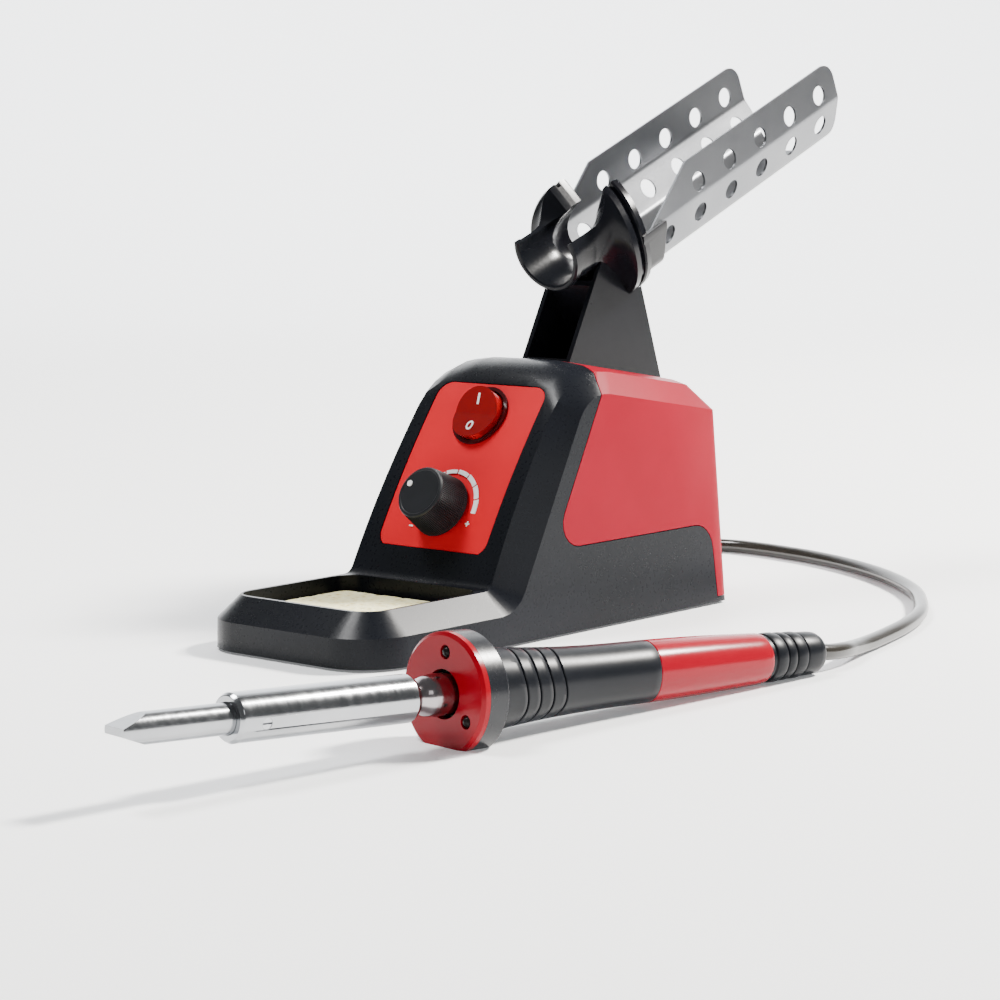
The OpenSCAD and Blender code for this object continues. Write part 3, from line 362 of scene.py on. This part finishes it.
def glass_like(name, tint, rough, weight):
    """Clear or tinted moulding that lets part of the light through."""
    paint = Paint(name, rough, Transmission_Weight=weight, IOR=1.49, Coat_Weight=0.3)
    paint.colour(paint.noise(300, 3), [c * 0.9 for c in tint], tint)
    paint.bump(paint.noise(900, 2), 0.004, 0.5)
    return paint.material


rocker_red = glass_like("rocker_red", (0.30, 0.003, 0.005), 0.08, 0.3)
fuse_glass = glass_like("fuse_glass", (0.9, 0.95, 0.97), 0.04, 0.9)
led_lens = moulded("led_lens", (0.008, 0.006, 0.006), (0.014, 0.01, 0.01), 0.25, Specular_IOR_Level=0.1)
lamp_glass = glass_like("lamp_glass", (0.9, 0.5, 0.25), 0.05, 0.7)


def sponge_material():
    """Cellulose sponge: open pores of mixed size, with painted shade darkening the inside of each pore."""
    paint = Paint("sponge_cellulose", 0.9, Sheen_Weight=0.3)
    pores = paint.cells(420)
    # painted shade: the ramp colours each pore darker towards its bottom, where the bump below sinks it
    paint.link(paint.ramp(pores, [(0.05, (0.62, 0.46, 0.12)), (0.35, (0.93, 0.85, 0.44)),
                                  (0.8, (0.97, 0.92, 0.56))]), paint.shader.inputs["Base Color"])
    paint.bump(pores, 0.9, 0.8)
    paint.bump(paint.noise(1400, 4), 0.25, 0.5)
    return paint.material


sponge_paint = sponge_material()

cord_paint = moulded("cord_pvc", (0.016, 0.014, 0.011), (0.024, 0.021, 0.017), 0.2, 700, 0.004,
                     Specular_IOR_Level=0.6)

PAINTS = {
    "front_housing": black, "rear_cover": red, "base_plate": base_black, "rubber_feet": rubber,
    "base_screws": steel, "ballast_plate": iron, "ballast_screws": steel, "control_panel": panel_red,
    "panel_scale": print_white, "switch_body": switch_red, "switch_terminals": brass,
    "neon_lamp": lamp_glass,
    "rocker": rocker_red, "rocker_marks": print_white, "pot_body": green, "pot_nut": plated,
    "pot_shaft": turned, "knob": knob_black, "knob_dot": print_white, "circuit_board": board,
    "board_screws": steel, "triac": epoxy,
    "heat_sink": extruded, "capacitor": yellow, "resistors": ceramic, "fuse": fuse_glass, "fuse_clips": brass,
    "terminal_block": blue, "mains_gland": gland_black, "cord_gland": gland_black, "gland_nuts": gland_black,
    "sponge": sponge_paint, "support_post": rest_black, "post_screws": steel, "iron_cradle": rest_black,
    "holder_trough": trough_steel, "trough_rivets": rivet, "tip": tip_plated, "barrel": barrel_steel,
    "tip_screw": steel, "heater_core": heater, "barrel_neck": neck_steel, "flange_disc": flange_red,
    "led_lamps": led_lens, "led_board": board, "flange_ring": ring_black, "handle_core": handle_core,
    "grip_sleeve": grip_black, "rear_handle": handle_red, "cord_boot": boot_black, "iron_cord": cord_paint,
}
# how far each node's sharp edges are rounded, in millimetres; the rest get SMALL_EDGE
EDGES = {
    "front_housing": 0.7, "rear_cover": 0.6, "base_plate": 0.3, "control_panel": 0.35,
    "switch_body": 0.2, "rocker": 0.35, "support_post": 0.5, "iron_cradle": 0.7,
    "holder_trough": 0.18, "barrel": 0.15, "tip": 0.15, "flange_disc": 0.3, "flange_ring": 0.5,
    "mains_gland": 0.3, "cord_gland": 0.3, "barrel_neck": 0.3,
}
SMALL_EDGE = 0.1
for name, node in nodes.items():
    node.data.materials.clear()
    node.data.materials.append(PAINTS[name])
    smooth(node)
    if name in EDGES:
        edge_round(node, EDGES[name], 3)
    else:
        edge_round(node, SMALL_EDGE, 2)


# ---------------------------------------------------------------- the iron's cord
CORD_D = 5
BOOT_END = 145    # where the boot ends, along the iron


def add_cord():
    gland_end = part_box("cord_gland")[1].y
    start = Vector((-17, gland_end / MM, 17))
    points = [
        (-18.2, 115, 15.6), (-22.5, 125, 12.6), (-29.5, 133, 9), (-37.5, 140, 5.8), (-43.5, 148, 3.4),
        (-45.8, 157.5, 2.6), (-43.4, 167.4, 2.6), (-36.4, 174.8, 2.6), (-26, 178, 2.6), (-12, 177.5, 2.6),
        (0, 175.6, 2.6), (12, 173, 2.6), (31, 166.4, 2.6), (51, 156.5, 2.6), (70, 143.7, 2.6),
        (87.4, 128.2, 2.6), (102, 109.6, 2.6), (113, 92, 2.6), (122, 70, 2.6), (128.6, 46, 2.6),
        (131.6, 34, 2.9), (134.5, 24.8, 3.6), (137.4, 16, 4.6), (138.3, 8, 5.3),
    ]
    end = IRON @ Vector((0, 0, BOOT_END * MM)) / MM
    points = [start] + [Vector(p) for p in points] + [end]
    path = flowing([p * MM for p in points], Vector((0, 1, 0)), -(IRON.to_3x3() @ Z))
    for point in path:
        point.z = max(point.z, (CORD_D / 2 + 0.05) * MM)
    mesh_points, faces = tube(path, CORD_D / 2 * MM, 16)
    cord = add_mesh("cord", mesh_points, faces, None, cord_paint, "iron_cord")
    smooth(cord)
    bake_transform(cord)


add_cord()


# ---------------------------------------------------------------- the iron's handle
FRONT_SIDE = -math.pi / 2    # the angle about the iron that faces the station's right
GRIP_START, GRIP_END, HANDLE_END = 12, 73.4, 120.5
CORE_R = 6.62    # the handle's core, which the sleeves fit over
SLEEVE_STEPS = 144


def swell(u):
    """Radius of the grip, which swells towards the flange."""
    return 8.9 + 2.9 * ((GRIP_END - u) / (GRIP_END - GRIP_START)) ** 2.4


def seam_wave(a):
    """How far the grip's rear edge bows along the handle at an angle."""
    return -1.3 * (1 + math.cos(2 * (a - FRONT_SIDE))) / 2 + 0.9


def faces_closed(faces, rows, steps):
    """Joins a sleeve's last row to its first, so that the sleeve is a closed ring."""
    last = (len(rows) - 1) * steps
    return faces + [(last + k, k, (k + 1) % steps, last + (k + 1) % steps) for k in range(steps)]


def add_grip():
    """The black sleeve: each row is plain, bowed like a groove or bowed like the seam."""
    plain, grooved, seam = range(3)
    groove_depth, groove_half, groove_lip = 0.45, 0.22, 0.3
    rows = [(CORE_R, GRIP_START + 0.05), (11.4, GRIP_START + 0.05), (11.75, GRIP_START + 0.4)]
    bows = [plain] * 3
    u = 14.0
    while u < 18.6:
        rows.append((swell(u), u))
        bows.append(plain)
        u += 1.5
    for index in range(4):
        centre = 20.8 + 5.05 * index
        for shift, depth in ((-1.8, 0), (-groove_half - groove_lip, 0), (-groove_half - 0.08, 0.12),
                             (-groove_half, groove_depth), (groove_half, groove_depth),
                             (groove_half + 0.08, 0.12), (groove_half + groove_lip, 0), (1.8, 0)):
            rows.append((swell(centre + shift) - depth, centre + shift))
            bows.append(grooved)
    u = 40.5
    while u < GRIP_END - 1.6:
        rows.append((swell(u), u))
        bows.append(plain)
        u += 2.5
    rows += [(swell(GRIP_END - 0.5), GRIP_END - 0.5), (8.75, GRIP_END), (CORE_R, GRIP_END)]
    bows += [seam] * 3

    def bowed(a, index, r, h):
        if bows[index] == grooved:
            h += 0.65 * MM * math.sin(3 * (a - FRONT_SIDE))
        elif bows[index] == seam:
            h += seam_wave(a) * MM
        return r, h

    points, faces = lathe([(r * MM, u * MM) for r, u in rows], SLEEVE_STEPS, IRON, bowed)
    faces = faces_closed(faces, rows, SLEEVE_STEPS)
    grip = add_mesh("grip", points, faces, "iron", grip_black, "grip_sleeve")
    smooth(grip)


def add_rear_handle():
    rows = [(CORE_R, GRIP_END + 0.05), (8.75, GRIP_END + 0.05), (8.9, GRIP_END + 0.3)]
    seam_rows = len(rows)
    rows += [(8.9 - 1.4 * ((u - GRIP_END) / (HANDLE_END - GRIP_END)) ** 1.5, u) for u in
             [GRIP_END + 3 + 3.6 * k for k in range(13)]]
    rows += [(7.42, HANDLE_END - 0.25), (7.25, HANDLE_END), (5.6, HANDLE_END)]

    def bowed(a, index, r, h):
        return (r, h + seam_wave(a) * MM) if index < seam_rows else (r, h)

    points, faces = lathe([(r * MM, u * MM) for r, u in rows], SLEEVE_STEPS, IRON, bowed)
    faces = faces_closed(faces, rows, SLEEVE_STEPS)
    rear = add_mesh("handle_rear", points, faces, "iron", handle_red, "rear_handle")
    smooth(rear)


def add_boot():
    """A thin step, three rings and a long rounded end."""
    rows = [(0, 117), (5.5, 117), (5.5, HANDLE_END + 0.1), (6.7, HANDLE_END + 0.1),
            (6.9, HANDLE_END + 0.35), (6.9, 122), (6.5, 122.2), (6.5, 122.5)]
    for low, high in ((122.5, 127.2), (127.5, 131.2), (131.5, 136.2)):
        top = 7.3 - 0.045 * (low - 122.5)
        rows += [(top - 0.75, low), (top - 0.2, low + 0.35), (top, low + 1.1),
                 (top + 0.02, (low + high) / 2), (top, high - 1.1), (top - 0.2, high - 0.35),
                 (top - 0.75, high)]
    rows += [(6.1, 136.5), (6.45, 136.8), (6.55, 137.6), (6.4, 142), (6.2, 143.6), (5.7, 144.6),
             (4.9, BOOT_END), (2.6, BOOT_END), (0, BOOT_END)]
    points, faces = lathe([(r * MM, u * MM) for r, u in rows], 96, IRON)
    boot = add_mesh("boot", points, faces, "iron", boot_black, "cord_boot")
    smooth(boot)


add_grip()
add_rear_handle()
add_boot()


# ---------------------------------------------------------------- knob
def face_frame(height):
    """Stands on the housing's sloped face at a height: local Z points out of it."""
    foot_y, foot_z, slope, bend = -25.1, 17.3, 0.4745, 0.00244
    rise = height - foot_z
    y = foot_y + slope * rise + bend * rise ** 2
    lean = math.atan(slope + 2 * bend * rise)
    out = Vector((0, -math.cos(lean), math.sin(lean)))
    turn = Matrix((Vector((1, 0, 0)), out.cross(Vector((1, 0, 0))), out)).transposed()
    return Matrix.Translation(Vector((0, y, height)) * MM) @ turn.to_4x4()


def add_knob():
    base_r, front_r, height, ribs = 10.45, 8.8, 12.6, 90
    rows = [(0, 5.6), (7.6, 5.6), (7.6, 0.6), (10.2, 0.6), (base_r, 0.8), (base_r, 1.2)]
    rows += [(base_r + (front_r + 0.2 - base_r) * k / 6, 1.5 + (height - 2.7) * k / 6) for k in range(7)]
    rows += [(front_r + 0.15, height - 1), (front_r + 0.1, height - 0.55),
             (front_r - 0.15, height - 0.15), (front_r - 0.5, height), (front_r - 1, height),
             (front_r - 1.2, height - 0.12), (6, height - 0.14), (0, height - 0.14)]
    ribbed = range(6, 14)    # the rows of its side

    def ribs_warp(a, index, r, h):
        if index in ribbed:
            r -= 0.24 * MM * (0.5 - 0.5 * math.cos(ribs * a))
        return r, h

    points, faces = lathe([(r * MM, h * MM) for r, h in rows], ribs * 4, face_frame(40), ribs_warp)
    knob = add_mesh("knob_ribbed", points, faces, "knob", knob_black, "knob")
    smooth(knob)


add_knob()


# ---------------------------------------------------------------- sponge
def add_sponge():
    """A rounded block, remeshed finely, with pores and sags pushed into it."""
    low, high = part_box("sponge")
    centre = (low + high) / 2
    half = (high - low) / 2
    radius, steps = 4 * MM, 64
    levels = ((low.z, 0.6), (low.z + 0.5 * MM, 0.1), ((low.z + high.z) / 2, 0),
              (high.z - 0.7 * MM, 0.1), (high.z - 0.2 * MM, 0.4), (high.z - 0.05 * MM, 1))
    points = []
    for z, inset in levels:
        for k in range(steps):
            a = 2 * math.pi * (k + 0.5) / steps
            corner = Vector((math.copysign(half.x - radius, math.cos(a)),
                             math.copysign(half.y - radius, math.sin(a)), 0))
            edge = (radius - inset * MM) * Vector((math.cos(a), math.sin(a), 0))
            points.append(Vector((centre.x, centre.y, z)) + corner + edge)
    faces = []
    for i in range(len(levels) - 1):
        for k in range(steps):
            a, b = i * steps + k, i * steps + (k + 1) % steps
            faces.append((a, b, b + steps, a + steps))
    faces += [tuple(range(steps)), tuple(range(len(points) - steps, len(points)))]
    sponge = add_mesh("sponge_cell", points, faces, "sponge", sponge_paint, "sponge")
    remesh = sponge.modifiers.new("cells", "REMESH")
    remesh.mode = "VOXEL"
    remesh.voxel_size = 0.55 * MM
    depsgraph = bpy.context.evaluated_depsgraph_get()
    dense = bpy.data.meshes.new_from_object(sponge.evaluated_get(depsgraph))
    sponge.modifiers.clear()
    sponge.data = dense
    for vertex in dense.vertices:
        small = max(0.0, 0.42 - noise.voronoi(vertex.co * 420)[0][0])
        large = max(0.0, 0.3 - noise.voronoi(vertex.co * 170)[0][0])
        pores = small + 0.6 * large
        sag = 0.25 * noise.noise(vertex.co * 60)
        vertex.co -= vertex.normal * (1.6 * pores + max(0, sag)) * MM
    dense.shade_smooth()


add_sponge()


# ---------------------------------------------------------------- stage and lights
def add_stage():
    """A pale floor that curves up into a wall behind the object."""
    paint = Paint("floor_white", 0.65)
    paint.colour(paint.noise(1.5, 2), (0.93, 0.935, 0.94), (0.95, 0.955, 0.96))
    paint.shader.inputs["Emission Color"].default_value = (0.96, 0.98, 1.0, 1)
    # the backdrop glows, like a lit studio wall; the floor near the object hardly does
    reach = paint.tree.nodes.new("ShaderNodeVectorMath")
    reach.operation = "DISTANCE"
    reach.inputs[1].default_value = (-2.0, 2.2, 1.0)
    paint.link(paint.where, reach.inputs[0])
    glow = paint.tree.nodes.new("ShaderNodeMapRange")
    glow.interpolation_type = "SMOOTHSTEP"
    for key, value in (("From Min", 0.9), ("From Max", 2.9), ("To Min", 3.0), ("To Max", 0.2)):
        glow.inputs[key].default_value = value
    paint.link(reach.outputs["Value"], glow.inputs["Value"])
    paint.link(glow.outputs["Result"], paint.shader.inputs["Emission Strength"])
    away = Vector((-0.672, 0.741, 0))    # the way the camera looks
    side = Vector((0.741, 0.672, 0))
    near, curve, steps, top, half_width = -2, 1.5, 12, 4, 4
    rows = [(near, 0), (curve, 0)]
    for k in range(1, steps + 1):
        a = math.pi / 2 * k / steps
        rows.append((curve + curve * math.sin(a), curve - curve * math.cos(a)))
    rows.append((2 * curve, top))
    points = [away * d + side * x + Z * h for d, h in rows for x in (-half_width, half_width)]
    faces = [(2 * i, 2 * i + 1, 2 * i + 3, 2 * i + 2) for i in range(len(rows) - 1)]
    mesh = bpy.data.meshes.new("floor")
    mesh.from_pydata(points, [], faces)
    mesh.shade_smooth()
    floor = bpy.data.objects.new("floor", mesh)
    bpy.context.scene.collection.objects.link(floor)
    mesh.materials.append(paint.material)
    world = bpy.data.worlds.new("studio")
    bpy.context.scene.world = world
    world.use_nodes = True
    background = world.node_tree.nodes["Background"]
    background.inputs["Color"].default_value = (0.96, 0.98, 1.0, 1)
    background.inputs["Strength"].default_value = 0.16


def add_light(name, position, target, size, power, colour=(1, 1, 1)):
    data = bpy.data.lights.new(name, "AREA")
    data.shape = "RECTANGLE"
    data.size, data.size_y = size
    data.energy = power
    data.color = colour
    light = bpy.data.objects.new(name, data)
    light.location = position
    light.rotation_euler = (Vector(target) - Vector(position)).to_track_quat("-Z", "Y").to_euler()
    bpy.context.scene.collection.objects.link(light)


add_stage()
add_light("key", (0.62, 1.1, 1.2), (0.05, 0, 0.05), (0.3, 0.3), 120, (1, 0.97, 0.92))
add_light("top", (-0.45, -0.3, 1.3), (0.03, 0, 0.05), (0.5, 0.4), 22)
add_light("side", (1.5, -0.5, 0.8), (0.05, 0, 0.08), (0.5, 0.5), 3)

bpy.context.view_layer.update()
